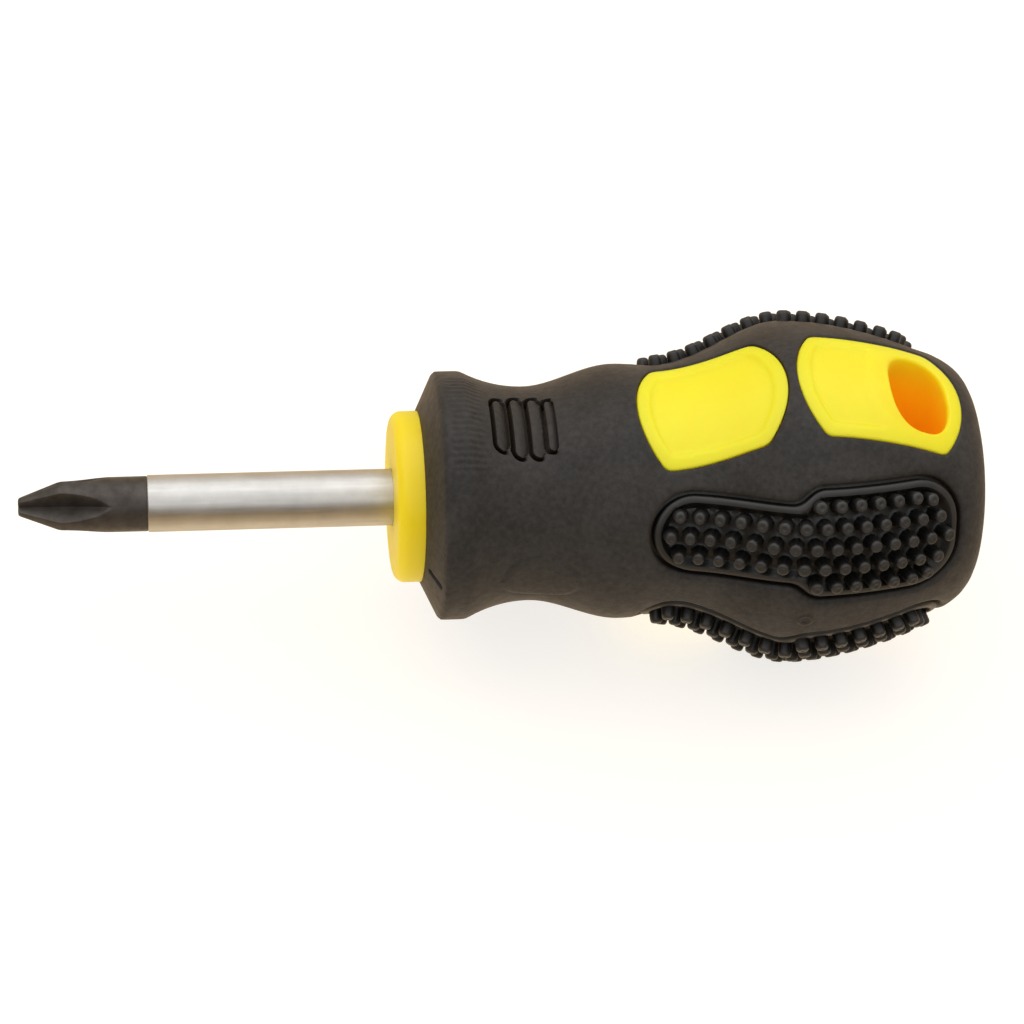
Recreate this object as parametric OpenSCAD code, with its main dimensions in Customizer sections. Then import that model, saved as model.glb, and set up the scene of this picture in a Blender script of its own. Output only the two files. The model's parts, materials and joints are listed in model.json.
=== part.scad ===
// Stubby cross-head screwdriver. A short steel blade is moulded into a hard core, and a
// rubber grip with four studded finger pads is moulded over the core.
// The origin is the middle of the blade's end face. +X runs along the tool to the butt
// and +Z along the hang hole. Dimensions are in millimetres.

/* [Blade] */
// Diameter of the bright shank
shank_d = 6; // [5.8:0.1:6.4]
// Length of blade that stands out of the handle, blackened point included
blade_len = 39; // [34:0.5:60]
// Length of the blackened point
point_len = 13.4; // [12:0.1:16]
// Diameter of the blackened point where it meets the shank
point_d = 5.8; // [5.6:0.05:5.85]
// Diameter of the blackened point just behind its cone
point_front_d = 5.75; // [5.4:0.05:5.8]
// Length of the cone at the very end
cone_len = 4.3; // [4:0.1:5]
// Diameter of the blunt end face
tip_d = 2; // [1.6:0.1:2.2]
// Distance from the axis to the bottom of each flute where it starts to run out
flute_root_r = 0.9; // [0.8:0.05:1]
// Radius of the cutter that ends each flute
flute_cutter_r = 9; // [8:0.5:11]
// Length of the tang inside the handle
tang_len = 36; // [30:0.5:38]
// Diameter of the tang
tang_d = 5.5; // [5.2:0.1:5.5]

/* [Handle] */
// Length of the handle, from the collar's face to the butt
handle_len = 62.9; // [62.5:0.1:66]
// Diameter of the hard collar round the shank
collar_d = 18.1; // [17.6:0.1:18.6]
// Length of collar that shows in front of the rubber
collar_len = 2.85; // [2.6:0.05:3.2]
// Diameter of the straight band at the front of the rubber
band_d = 26.3; // [25.5:0.1:27.5]
// Diameter of the neck
neck_d = 22.7; // [22.2:0.1:23.4]
// Diameter of the swelling behind the neck
shoulder_d = 27.1; // [26.5:0.1:27.6]
// Largest diameter of the rubber, under the palm
palm_d = 35.9; // [35:0.1:37]
// Thickness of the rubber over the core
grip_wall = 3; // [2.8:0.1:3.2]

/* [Windows and hang hole] */
// Half the width of each window of bare core
window_half_w = 6.9; // [6.6:0.1:7.1]
// How far the windows lie below the rubber
window_sink = 0.2; // [0.1:0.05:0.3]
// Width of the rim round the sunk panel in each window
window_rim = 1.3; // [1.1:0.1:1.5]
// Depth of the sunk panel
panel_depth = 0.25; // [0.2:0.05:0.5]
// Diameter of the hang hole
hole_d = 6.3; // [6:0.1:6.4]
// Width of the hang hole's mouth, across the handle
mouth_w = 9.7; // [9:0.1:10.4]
// Half the length of the hang hole's straight middle
mouth_from = 4.5; // [4:0.1:5]

/* [Pads] */
// Half the width of the pad's narrow end
pad_narrow_half = 4.75; // [4.6:0.05:4.9]
// Half the width of the pad's wide end
pad_wide_half = 6.45; // [6.3:0.05:6.6]
// Depth of the pad's floor below the rubber
pad_floor = 1; // [0.8:0.05:1.1]
// Thickness of the pad under its floor
pad_base = 1.2; // [1:0.05:1.3]
// Width of the groove round the pad
pad_groove = 0.45; // [0.3:0.05:0.6]
// Width of the raised skirt inside the groove
pad_skirt = 1.1; // [0.9:0.05:1.2]
// Diameter of one stud
stud_d = 1.35; // [1.2:0.05:1.5]
// How far the studs stand above the rubber
stud_h = 0.95; // [0.7:0.05:1.1]
// Distance between studs in a row
stud_pitch = 2.05; // [2:0.01:2.1]
// Distance between rows of studs
row_pitch = 2.15; // [2.1:0.01:2.2]

/* [Grip details] */
// Number of raised bars in the neck, on each side
bar_count = 4; // [3:1:4]
// Width of one bar
bar_w = 1.4; // [1.2:0.1:1.5]
// Distance between bars
bar_pitch = 1.85; // [1.8:0.05:1.9]
// Height of a bar above the neck
bar_h = 0.45; // [0.3:0.05:0.6]
// Number of fine grooves across the band, on each side
groove_count = 17; // [9:2:17]
// Depth of a fine groove
groove_depth = 0.25; // [0.15:0.05:0.3]

/* [Hidden] */
round_fn = 96;       // facets shown on round surfaces
curve_step = 1.1;    // spacing of points along the handle's outline
far = 20;            // longer than any radius of the handle
seam_angle = 30;     // where round surfaces start, in the bare land between window and pad

steel = [0.78, 0.78, 0.8];
yellow = [1, 0.84, 0.1];
rubber = [0.2, 0.19, 0.19];
pad_rubber = [0.1, 0.09, 0.09];

shank_r = shank_d / 2;
tang_r = tang_d / 2;
collar_r = collar_d / 2;
collar_round = 1.2;

// The outline's stations: distance from the collar's face, radius, slope.
band_x = 4.75;
band_end = [7.4, band_d / 2, -0.55];
neck = [14.2, neck_d / 2, 0];
shoulder = [23.8, shoulder_d / 2, 0];
saddle = [27.2, shoulder_d / 2 - 0.15, 0];
flare = [35, palm_d / 2 - 2.3, 0.5];
palm = [42, palm_d / 2, 0];
fall = [51.8, palm_d / 2 - 1.65, -0.29];
butt_edge = [58, palm_d / 2 - 4.05, -0.45];
butt_r = 8.6;        // radius of the domed end
dome_h = 1;          // height of the dome
flat_r = 1;          // radius of the flat in the middle of the dome
butt_corner = [[58, butt_edge[1]], [61.4, butt_edge[1] - 1.53],
               [handle_len - dome_h - 0.35, butt_r + 2.3], [handle_len - dome_h, butt_r]];
corner_steps = 8;
dome_steps = 5;

palm_flat_depth = 0.15;

// Windows: corner stations front and rear, then how far the end arcs bulge past them.
front_window = [27.35, 37.5, 2.45, 2.65];
rear_window = [43.5, 56.5, 2.35, 2.7];
hole_x = 54.3;
panel_gap = 2;       // bare rim between the rear panel and the hang hole
mouth_top = 15;      // height above the axis where the mouth reaches its full width
mouth_h = far - mouth_from;
mouth_spread = (mouth_w - hole_d) / 2 * mouth_h / (mouth_top - mouth_from);
mouth_half = hole_d / 2 + 0.05;

// Pads: stations of the narrow end, the step to the wide end, and the rear end.
pad_x = 25.6;
pad_step_x = 40.3;
pad_end_x = 58.3;
pad_step_r = 2.5;
pad_end_r = 5.2;
pad_angles = [60, 120, 240, 300];
skirt_sink = 0.1;
stud_root = 0.3;     // how deep a stud starts inside the pad's base
stud_x = 27.65;
outer_stud_x = 42.5;

core_end = 60;       // where the core ends inside the rubber
core_tail = [[59.4, 9.2], [core_end, 6.5]];
wing_x = 62;         // where the tang's wings start, from the blade's end
wing_len = 8;
wing_w = 9;
wing_t = 1.6;

// A point on the smooth curve from station a to station b.
function hermite(a, b, t) =
    let (w = b[0] - a[0], s = t * t * (3 - 2 * t), u = 1 - t)
    [a[0] + t * w, a[1] + (b[1] - a[1]) * s + w * t * u * (a[2] * u - b[2] * t)];

function stretch(a, b) =
    let (n = max(2, round((b[0] - a[0]) / curve_step)))
    [for (i = [0:n - 1]) hermite(a, b, i / n)];

function bezier(p, t) =
    let (u = 1 - t)
    u * u * u * p[0] + 3 * u * u * t * p[1] + 3 * u * t * t * p[2] + t * t * t * p[3];

function dome_point(t) =
    [handle_len - dome_h * t * t, flat_r + (butt_r - flat_r) * t];

// The rubber's outline, from the collar to the butt.
profile = concat(
    [[collar_len, collar_r], [band_x, band_d / 2]],
    stretch(band_end, neck), stretch(neck, shoulder), stretch(shoulder, saddle),
    stretch(saddle, flare), stretch(flare, palm), stretch(palm, fall), stretch(fall, butt_edge),
    [for (i = [0:corner_steps]) bezier(butt_corner, i / corner_steps)],
    [for (i = [1:dome_steps]) dome_point(1 - i / dome_steps)]);

function grip_r(x) = lookup(x, profile);

// The outline between two stations, lowered by a depth.
function lowered(depth, from, to) =
    [for (p = profile) if (p[0] >= from && p[0] <= to && p[1] > depth) [p[0], p[1] - depth]];

// A solid of revolution about X, closed to the axis at both ends.
module turned(points) {
    last = points[len(points) - 1];
    rotate([seam_angle - 180, 0, 0]) rotate([0, 90, 0])
        rotate_extrude($fn = round_fn)
            polygon(concat([[0, points[0][0]]], [for (p = points) [p[1], p[0]]], [[0, last[0]]]));
}

module in_handle() translate([blade_len, 0, 0]) children();

// ---- Blade ----

module blade_blank() {
    chamfer = 0.5;
    tang_end = blade_len + tang_len;
    turned([[0, tip_d / 2], [cone_len, point_front_d / 2], [point_len, point_d / 2],
            [point_len, shank_r], [blade_len, shank_r], [blade_len, tang_r],
            [tang_end - chamfer, tang_r], [tang_end, tang_r - chamfer]]);
    translate([wing_x, -wing_w / 2, -wing_t / 2]) cube([wing_len, wing_w, wing_t]);
}

// One flute: a V channel from the end, then the run-out that a disc cutter leaves.
module flute() {
    vee = 92;
    depth = 4;
    half = depth * tan(vee / 2);
    front_root = 0.45;
    run_out_x = 4;
    rise = atan((flute_root_r - front_root) / run_out_x);
    translate([0, 0, front_root]) rotate([0, -rise, 0]) translate([-1, 0, 0])
        rotate([90, 0, 90]) linear_extrude(run_out_x + 1)
            polygon([[0, 0], [half, depth], [-half, depth]]);
    translate([run_out_x, 0, flute_root_r + flute_cutter_r]) rotate([90, 0, 0])
        rotate_extrude($fn = round_fn)
            polygon([[flute_cutter_r, 0], [flute_cutter_r - depth, half], [flute_cutter_r - depth, -half]]);
}

module blade() {
    color(steel) difference() {
        blade_blank();
        for (turn = [45:90:315]) rotate([turn, 0, 0]) flute();
    }
}

// ---- Core ----

function bulge_r(bulge) = (window_half_w * window_half_w + bulge * bulge) / (2 * bulge);

module window_2d(w, inset = 0) {
    front = w[0] - w[2];
    rear = w[1] + w[3];
    half = window_half_w - inset;
    intersection() {
        translate([front, -half]) square([rear - front, 2 * half]);
        translate([front + bulge_r(w[2]), 0]) circle(r = bulge_r(w[2]) - inset, $fn = round_fn);
        translate([rear - bulge_r(w[3]), 0]) circle(r = bulge_r(w[3]) - inset, $fn = round_fn);
    }
}

module windows_2d(inset = 0) {
    window_2d(front_window, inset);
    window_2d(rear_window, inset);
}

module panels_2d() {
    window_2d(front_window, window_rim);
    difference() {
        window_2d(rear_window, window_rim);
        translate([hole_x - hole_d / 2 - panel_gap, -far]) square([far, 2 * far]);
    }
}

module both_faces() {
    for (side = [0, 1]) mirror([0, 0, side]) children();
}

// A flat outline carried right through the handle along Z.
module through() linear_extrude(2 * far, center = true) children();

// A straight round middle, and on each face a cone cut off flat fore and aft.
module hang_hole() {
    translate([hole_x, 0, 0]) {
        cylinder(d = hole_d, h = 2 * far, center = true, $fn = round_fn);
        both_faces() intersection() {
            translate([0, 0, mouth_from])
                cylinder(d1 = hole_d, d2 = hole_d + 2 * mouth_spread, h = mouth_h, $fn = round_fn);
            translate([-mouth_half, -far, 0]) cube([2 * mouth_half, 2 * far, far]);
        }
    }
}

function core_outline() = concat(
    [for (a = [180:-15:90]) [collar_round + collar_round * cos(a), collar_r - collar_round + collar_round * sin(a)]],
    [for (p = profile) if (p[0] > neck[0] && p[0] < butt_edge[0] + 0.01) [p[0], max(collar_r, p[1] - grip_wall)]],
    core_tail);

module core_blank() {
    difference() {
        union() {
            turned(core_outline());
            intersection() {
                through() windows_2d();
                turned(lowered(window_sink, neck[0], handle_len));
            }
        }
        difference() {
            through() panels_2d();
            turned(lowered(window_sink + panel_depth, neck[0], handle_len));
        }
        hang_hole();
    }
}

module core() {
    color(yellow) difference() {
        in_handle() core_blank();
        blade_blank();
    }
}

// ---- Pads ----

module pad_2d(inset = 0) {
    narrow = pad_narrow_half - inset;
    wide = pad_wide_half - inset;
    step_r = pad_step_r - inset;
    end_r = pad_end_r - inset;
    step_x = pad_step_x + pad_step_r;
    end_x = pad_end_x - pad_end_r;
    translate([pad_x + pad_narrow_half, 0]) circle(r = narrow, $fn = round_fn);
    translate([pad_x + pad_narrow_half, -narrow]) square([step_x - pad_x - pad_narrow_half, 2 * narrow]);
    translate([step_x, -wide]) square([end_x - step_x, 2 * wide]);
    for (way = [-1, 1]) {
        translate([step_x, way * (wide - step_r)]) circle(r = step_r, $fn = round_fn);
        translate([end_x, way * (wide - end_r)]) circle(r = end_r, $fn = round_fn);
    }
    translate([end_x, end_r - wide]) square([end_r, 2 * (wide - end_r)]);
}

module pad_layer(inset, top) {
    intersection() {
        linear_extrude(far) pad_2d(inset);
        turned(lowered(top, neck[0], handle_len));
    }
}

module under_pad() turned(lowered(pad_floor + pad_base, neck[0], handle_len));

// One stud at a station along the handle and a distance across the pad.
module stud(x, across) {
    r = grip_r(x);
    rotate([-asin(across / r), 0, 0]) translate([x, 0, r - pad_floor - stud_root])
        cylinder(d = stud_d, h = pad_floor + stud_root + stud_h, $fn = 24);
}

module studs() {
    for (i = [0:14]) stud(stud_x + i * stud_pitch, 0);
    for (way = [-1, 1]) {
        for (i = [0:13]) stud(stud_x + 0.95 + i * stud_pitch, way * row_pitch);
        for (i = [0:5]) stud(outer_stud_x + i * stud_pitch, way * 2 * row_pitch);
        stud(outer_stud_x + 5.85 * stud_pitch, way * 1.8 * row_pitch);
    }
}

module pad(angle) {
    color(pad_rubber) in_handle() rotate([angle, 0, 0]) {
        difference() {
            union() {
                pad_layer(0, pad_floor);
                difference() {
                    pad_layer(pad_groove, skirt_sink);
                    linear_extrude(far) pad_2d(pad_groove + pad_skirt);
                }
            }
            under_pad();
        }
        studs();
    }
}

module pad_front_upper() pad(pad_angles[0]);
module pad_front_lower() pad(pad_angles[1]);
module pad_back_lower() pad(pad_angles[2]);
module pad_back_upper() pad(pad_angles[3]);

// ---- Grip ----

module pad_pockets() {
    difference() {
        for (angle = pad_angles) rotate([angle, 0, 0]) linear_extrude(far) pad_2d();
        under_pad();
    }
}

// Raised bars across the neck, the middle ones longer.
module bars() {
    first_x = neck[0] + 0.15 - (bar_count - 1) * bar_pitch / 2 - 0.9;
    for (i = [0:bar_count - 1]) {
        half = (i == 0 || i == bar_count - 1) ? 3.4 : 4.1;
        x = first_x + i * bar_pitch;
        intersection() {
            both_faces() translate([0, 0, collar_r + 0.5]) linear_extrude(far) {
                translate([x - bar_w / 2, bar_w / 2 - half]) square([bar_w, 2 * half - bar_w]);
                for (way = [-1, 1]) translate([x, way * (half - bar_w / 2)])
                    circle(d = bar_w, $fn = round_fn);
            }
            turned(lowered(-bar_h, band_end[0], shoulder[0]));
        }
    }
}

// Fine grooves along the tool, across the band on both faces.
module band_grooves() {
    span = 54;
    groove_w = 0.35;
    groove_len = 2.6;
    for (i = [0:groove_count - 1], face = [0, 180])
        rotate([face + span * (i / (groove_count - 1) - 0.5), 0, 0])
            translate([band_x + 0.3, -groove_w / 2, band_d / 2 - groove_depth])
                cube([groove_len, groove_w, far]);
}

// A slit in the front cone and a ring mark under the palm, on both sides.
module moulding_marks() {
    slit = [2.6, 0.5, 1.2];
    cone_slope = atan((band_d / 2 - collar_r) / (band_x - collar_len));
    slit_x = (band_x + collar_len) / 2;
    ring_d = 1.6;
    ring_in_d = 1;
    ring_depth = 0.15;
    for (side = [90, 270]) rotate([side, 0, 0]) {
        translate([slit_x, 0, (band_d / 2 + collar_r) / 2]) rotate([0, -cone_slope, 0])
            cube(slit, center = true);
        translate([palm[0] - 0.2, 0, palm[1] - ring_depth]) difference() {
            cylinder(d = ring_d, h = 1, $fn = round_fn);
            cylinder(d = ring_in_d, h = 1, $fn = round_fn);
        }
    }
}

// A shallow flat on each face of the palm, between the windows.
module palm_flats() {
    both_faces() translate([flare[0], -far, palm[1] - palm_flat_depth])
        cube([fall[0] - flare[0], 2 * far, far]);
}

module grip() {
    color(rubber) in_handle() difference() {
        union() {
            turned(profile);
            bars();
        }
        turned(core_outline());
        through() windows_2d();
        pad_pockets();
        band_grooves();
        moulding_marks();
        palm_flats();
    }
}

blade();
core();
grip();
pad_front_upper();
pad_front_lower();
pad_back_lower();
pad_back_upper();
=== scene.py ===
"""A stubby cross-head screwdriver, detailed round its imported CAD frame.

Lengths are in millimetres and angles in degrees until a mesh is made. X runs from the blade's
point to the butt. An angle round the tool is measured from +Z (the hang hole's side) towards -Y.
"""
import json
import math

import bmesh
import bpy
import numpy as np
from mathutils import Matrix, Vector, geometry
from mathutils.kdtree import KDTree


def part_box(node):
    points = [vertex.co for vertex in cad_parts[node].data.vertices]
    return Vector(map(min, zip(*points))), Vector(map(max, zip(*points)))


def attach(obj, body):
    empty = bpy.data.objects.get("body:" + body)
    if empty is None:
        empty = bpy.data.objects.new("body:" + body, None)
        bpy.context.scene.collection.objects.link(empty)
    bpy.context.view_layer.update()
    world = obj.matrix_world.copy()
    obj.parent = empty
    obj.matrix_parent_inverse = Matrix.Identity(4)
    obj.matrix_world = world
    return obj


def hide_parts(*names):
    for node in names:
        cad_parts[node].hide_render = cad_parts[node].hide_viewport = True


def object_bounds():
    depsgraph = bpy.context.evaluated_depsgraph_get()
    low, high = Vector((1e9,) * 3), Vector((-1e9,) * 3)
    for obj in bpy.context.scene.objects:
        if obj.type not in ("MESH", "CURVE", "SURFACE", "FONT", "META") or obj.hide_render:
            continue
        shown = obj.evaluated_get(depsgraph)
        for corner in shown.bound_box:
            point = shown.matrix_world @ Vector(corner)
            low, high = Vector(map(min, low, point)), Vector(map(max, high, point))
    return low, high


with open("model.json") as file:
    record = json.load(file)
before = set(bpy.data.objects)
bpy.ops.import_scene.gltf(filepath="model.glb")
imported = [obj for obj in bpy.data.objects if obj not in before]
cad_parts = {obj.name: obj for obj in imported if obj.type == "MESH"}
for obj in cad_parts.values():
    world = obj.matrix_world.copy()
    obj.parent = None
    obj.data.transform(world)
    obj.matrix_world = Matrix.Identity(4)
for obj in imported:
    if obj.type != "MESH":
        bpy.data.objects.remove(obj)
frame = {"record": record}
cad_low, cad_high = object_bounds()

MM = 0.001

# ---------------------------------------------------------------- sizes from the frame
mounts = {m["name"]: m for m in frame["record"]["mounts"]}
SHANK_R = mounts["shank"]["dims"]["r_mm"]
HOLE_R = mounts["hang_hole"]["dims"]["r_mm"]
HOLE_X = mounts["hang_hole"]["pos_m"][0] / MM
COLLAR_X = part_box("core")[0].x / MM       # the collar's front face
RUBBER_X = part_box("grip")[0].x / MM       # the rubber's front edge
BUTT_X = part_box("grip")[1].x / MM
PALM_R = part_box("grip")[1].y / MM         # the rubber's largest radius
TANG_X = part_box("blade")[1].x / MM        # the tang's hidden end
FLAT_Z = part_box("grip")[1].z / MM - 0.02  # the shallow flat on each face of the palm
FLAT_ROUND = 0.05                         # how softly the surface runs into that flat

# Stations of the rubber's outline: distance from the collar's face, radius, slope.
BAND_X = 4.75
BAND_R = 13.15
BAND_END = (7.4, BAND_R, -0.55)
NECK = (14.2, 11.35, 0.0)
SHOULDER = (23.8, 13.55, 0.0)
SADDLE = (27.2, 13.4, 0.0)
FLARE = (35.0, PALM_R - 2.3, 0.5)
PALM = (42.0, PALM_R, 0.0)
FALL = (51.8, PALM_R - 1.65, -0.29)
BUTT_EDGE = (58.0, PALM_R - 4.05, -0.45)
DOME_R = 8.6
DOME_H = 1.0

COLLAR_R = 9.05
COLLAR_ROUND = 1.2
GRIP_WALL = 3.0
CORE_TAIL_X = 59.4                        # where the core starts to close, from the collar's face
CORE_TAIL_R = 9.2
CORE_END_X = 60.0
CORE_END_R = 6.5
CLEARANCE = 0.03

# Windows of bare core: corner stations, how far the end arcs bulge, half width.
FRONT_WINDOW = (27.35, 37.5, 2.45, 2.65)
REAR_WINDOW = (43.5, 56.5, 2.35, 2.7)
WINDOW_HALF = 6.9
WINDOW_ROUND = 0.5
WINDOW_GAP = 0.04
PANEL_RIM = 1.35
PANEL_DEPTH = 0.28
PANEL_REAR_X = 49.0                       # where the rear panel ends on the centre line
PANEL_REAR_BOW = 14.0
MOUTH_HALF = 4.85                         # half the mouth's width across the handle
MOUTH_LIP = 0.4
BORE_TOP = 4.5                            # half the length of the bore's straight middle

# Pads: outline, pocket and studs.
PAD_ANGLES = {
    "pad_front_upper": 60,
    "pad_front_lower": 120,
    "pad_back_lower": 240,
    "pad_back_upper": 300,
}
PAD_X = 25.6
PAD_NARROW = 4.75
PAD_WIDE = 6.45
PAD_STEP_X = 40.3
PAD_END_X = 58.3
PAD_STEP_R = 2.8
PAD_END_R = 5.3
PAD_WAIST = 1.4
POCKET_DEPTH = 2.2
PAD_UNDER = 2.15
STUD_PITCH = 2.05
ROW_PITCH = 2.15
STUD_SIDES = 16

REF_R = 15.0                              # radius at which angles become flat distances
QUARTER = math.radians(90) * REF_R
COLUMNS = 48                              # columns in a quarter turn, where a piece is plainly round


# ---------------------------------------------------------------- small maths
def smooth_step(t):
    t = np.clip(t, 0, 1)
    return t * t * (3 - 2 * t)


def ramp(value, start, end):
    """0 before start, 1 after end, smooth between."""
    return smooth_step((value - start) / (end - start))


def smooth_max(a, b, k):
    h = np.clip(0.5 + 0.5 * (a - b) / k, 0, 1)
    return b + (a - b) * h + k * h * (1 - h)


def smooth_min(a, b, k):
    return -smooth_max(-a, -b, k)


def hermite(a, b, n=40):
    t = np.linspace(0, 1, n)
    w = b[0] - a[0]
    r = a[1] + (b[1] - a[1]) * t * t * (3 - 2 * t) + w * t * (1 - t) * (a[2] * (1 - t) - b[2] * t)
    return np.stack([a[0] + t * w, r], 1)


def bezier(p, n=40):
    t = np.linspace(0, 1, n)[:, None]
    u = 1 - t
    p = np.array(p, float)
    return u**3 * p[0] + 3 * u * u * t * p[1] + 3 * u * t * t * p[2] + t**3 * p[3]


def stadium(x, y, half_x, half_y):
    """Signed distance to a slot with round ends, longest along whichever half is larger."""
    r = min(half_x, half_y)
    dx = np.maximum(np.abs(x) - (half_x - r), 0)
    dy = np.maximum(np.abs(y) - (half_y - r), 0)
    return np.hypot(dx, dy) - r


# ---------------------------------------------------------------- the handle's outline
class Outline:
    """A curve of (x, radius) turned about the X axis, with its corners slightly softened."""

    STEP = 0.05

    def __init__(self, points, soften):
        length = np.concatenate([[0], np.cumsum(np.hypot(*np.diff(points, axis=0).T))])
        even = np.linspace(0, length[-1], int(length[-1] / self.STEP) + 1)
        curve = np.stack([np.interp(even, length, points[:, i]) for i in (0, 1)], 1)
        reach = int(3 * soften / self.STEP)
        weight = np.exp(-0.5 * (np.arange(-reach, reach + 1) * self.STEP / soften) ** 2)
        weight /= weight.sum()
        before = 2 * curve[0] - curve[reach:0:-1]
        after = 2 * curve[-1] - curve[-2:-reach - 2:-1]
        longer = np.concatenate([before, curve, after])
        curve = np.stack([np.convolve(longer[:, i], weight, "valid") for i in (0, 1)], 1)
        self.x, self.r = curve.T
        self.s = np.concatenate([[0], np.cumsum(np.hypot(np.diff(self.x), np.diff(self.r)))])
        tangent = np.gradient(curve, self.s, axis=0)
        tangent /= np.linalg.norm(tangent, axis=1)[:, None]
        self.nx, self.nr = -tangent[:, 1], tangent[:, 0]

    def at(self, s):
        return [np.interp(s, self.s, c) for c in (self.x, self.r, self.nx, self.nr)]

    def s_at(self, x):
        return np.interp(x, self.x, self.s)

    def r_at(self, x):
        return np.interp(x, self.x, self.r)


def rubber_outline():
    collar_len = RUBBER_X - COLLAR_X
    butt = BUTT_X - COLLAR_X
    front = [(collar_len, COLLAR_R + 0.12), (BAND_X, BAND_R)]
    corner = [BUTT_EDGE[:2], (61.4, BUTT_EDGE[1] - 1.53),
              (butt - DOME_H - 0.35, DOME_R + 2.3), (butt - DOME_H, DOME_R)]
    dome = [(butt - DOME_H * t * t, DOME_R * t) for t in np.linspace(1, 0, 30)]
    stations = [BAND_END, NECK, SHOULDER, SADDLE, FLARE, PALM, FALL, BUTT_EDGE]
    curves = [hermite(a, b)[:-1] for a, b in zip(stations[:-1], stations[1:])]
    points = np.concatenate([front, *curves, bezier(corner)[:-1], dome])
    return Outline(points + [COLLAR_X, 0], soften=0.18)


rubber = rubber_outline()


def core_radius(x):
    """The hard core's radius under the rubber."""
    tail = COLLAR_X + CORE_TAIL_X
    under = np.maximum(COLLAR_R, rubber.r_at(x) - GRIP_WALL)
    edge = COLLAR_X + BUTT_EDGE[0]
    last = rubber.r_at(edge) - GRIP_WALL
    closing = last + (CORE_TAIL_R - last) * (x - edge) / (tail - edge)
    return np.where(x > edge, closing, under)


def round_x(x, r, angle):
    """Points at a station, a radius and an angle (radians) round the tool."""
    x, r, angle = np.broadcast_arrays(x, r, angle)
    return np.stack([x, -r * np.sin(angle), r * np.cos(angle)], -1)


# ---------------------------------------------------------------- flat outlines
def window_distance(x, across, window):
    """Signed distance to a window's edge, negative inside, in its flat view."""
    front = COLLAR_X + window[0] - window[2]
    rear = COLLAR_X + window[1] + window[3]
    sides = np.abs(across) - WINDOW_HALF
    radius_f, radius_r = [(WINDOW_HALF**2 + b * b) / (2 * b) for b in window[2:]]
    head = np.hypot(x - front - radius_f, across) - radius_f
    foot = np.hypot(x - rear + radius_r, across) - radius_r
    return smooth_max(smooth_max(head, foot, 0.01), sides, WINDOW_ROUND)


def windows_distance(x, across):
    return np.minimum(window_distance(x, across, FRONT_WINDOW), window_distance(x, across, REAR_WINDOW))


def pad_distance(x, across):
    """Signed distance to a pad's edge, negative inside, in its flat view."""
    x = x - COLLAR_X
    narrow = np.hypot(x - np.clip(x, PAD_X + PAD_NARROW, PAD_STEP_X + 6), across) - PAD_NARROW
    middle, half = (PAD_STEP_X + PAD_END_X) / 2, (PAD_END_X - PAD_STEP_X) / 2
    corner = np.where(x < middle, PAD_STEP_R, PAD_END_R)
    qx = np.abs(x - middle) - half + corner
    qy = np.abs(across) - PAD_WIDE + corner
    wide = np.hypot(np.maximum(qx, 0), np.maximum(qy, 0)) + np.minimum(np.maximum(qx, qy), 0) - corner
    return smooth_min(narrow, wide, PAD_WAIST)


def mouth_ring(angle, grow, share):
    """The hang hole's section: an oval at the mouth (share 0), round at the bore (share 1)."""
    half_x = HOLE_R + grow
    half_y = MOUTH_HALF + (HOLE_R - MOUTH_HALF) * share + grow
    power = 2 / (2.5 - 0.5 * share)
    c, s = np.cos(angle), np.sin(angle)
    return (HOLE_X + half_x * np.sign(c) * np.abs(c) ** power,
            half_y * np.sign(s) * np.abs(s) ** power)


def contour(distance, centre_x, level, step, half=False):
    """The closed line where distance is level, as even steps. half keeps across >= 0, ends on it."""
    turn = np.linspace(0, math.pi if half else 2 * math.pi, 721)
    low, high = np.zeros_like(turn), np.full_like(turn, 30.0)
    for _ in range(40):
        mid = (low + high) / 2
        outside = distance(centre_x + mid * np.cos(turn), mid * np.sin(turn)) > level
        low, high = np.where(outside, low, mid), np.where(outside, mid, high)
    line = np.stack([centre_x + low * np.cos(turn), low * np.sin(turn)], 1)
    length = np.concatenate([[0], np.cumsum(np.hypot(*np.diff(line, axis=0).T))])
    even = np.linspace(0, length[-1], max(8, int(round(length[-1] / step))) + 1)
    line = np.stack([np.interp(even, length, line[:, i]) for i in (0, 1)], 1)
    if half:
        line[[0, -1], 1] = 0
    else:
        line[-1] = line[0]
    return line


def hex_grid(u0, u1, v0, v1, step):
    rows = []
    for k, v in enumerate(np.arange(v0 + step * 0.5, v1, step * 0.866)):
        u = np.arange(u0 + step * (0.5 if k % 2 else 1.0), u1, step)
        rows.append(np.stack([u, np.full_like(u, v)], 1))
    return np.concatenate(rows)


def clear_of(points, taken, gap):
    """The points further than gap from every taken point."""
    tree = KDTree(len(taken))
    for i, p in enumerate(taken):
        tree.insert((p[0], p[1], 0), i)
    tree.balance()
    return np.array([p for p in points if tree.find((p[0], p[1], 0))[2] > gap])


def in_polygon(points, polygon):
    x, y = points.T
    inside = np.zeros(len(points), bool)
    a = polygon
    b = np.roll(polygon, -1, axis=0)
    for (ax, ay), (bx, by) in zip(a, b):
        if ay != by:
            crosses = (ay > y) != (by > y)
            inside ^= crosses & (x < (bx - ax) * (y - ay) / (by - ay) + ax)
    return inside


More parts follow.
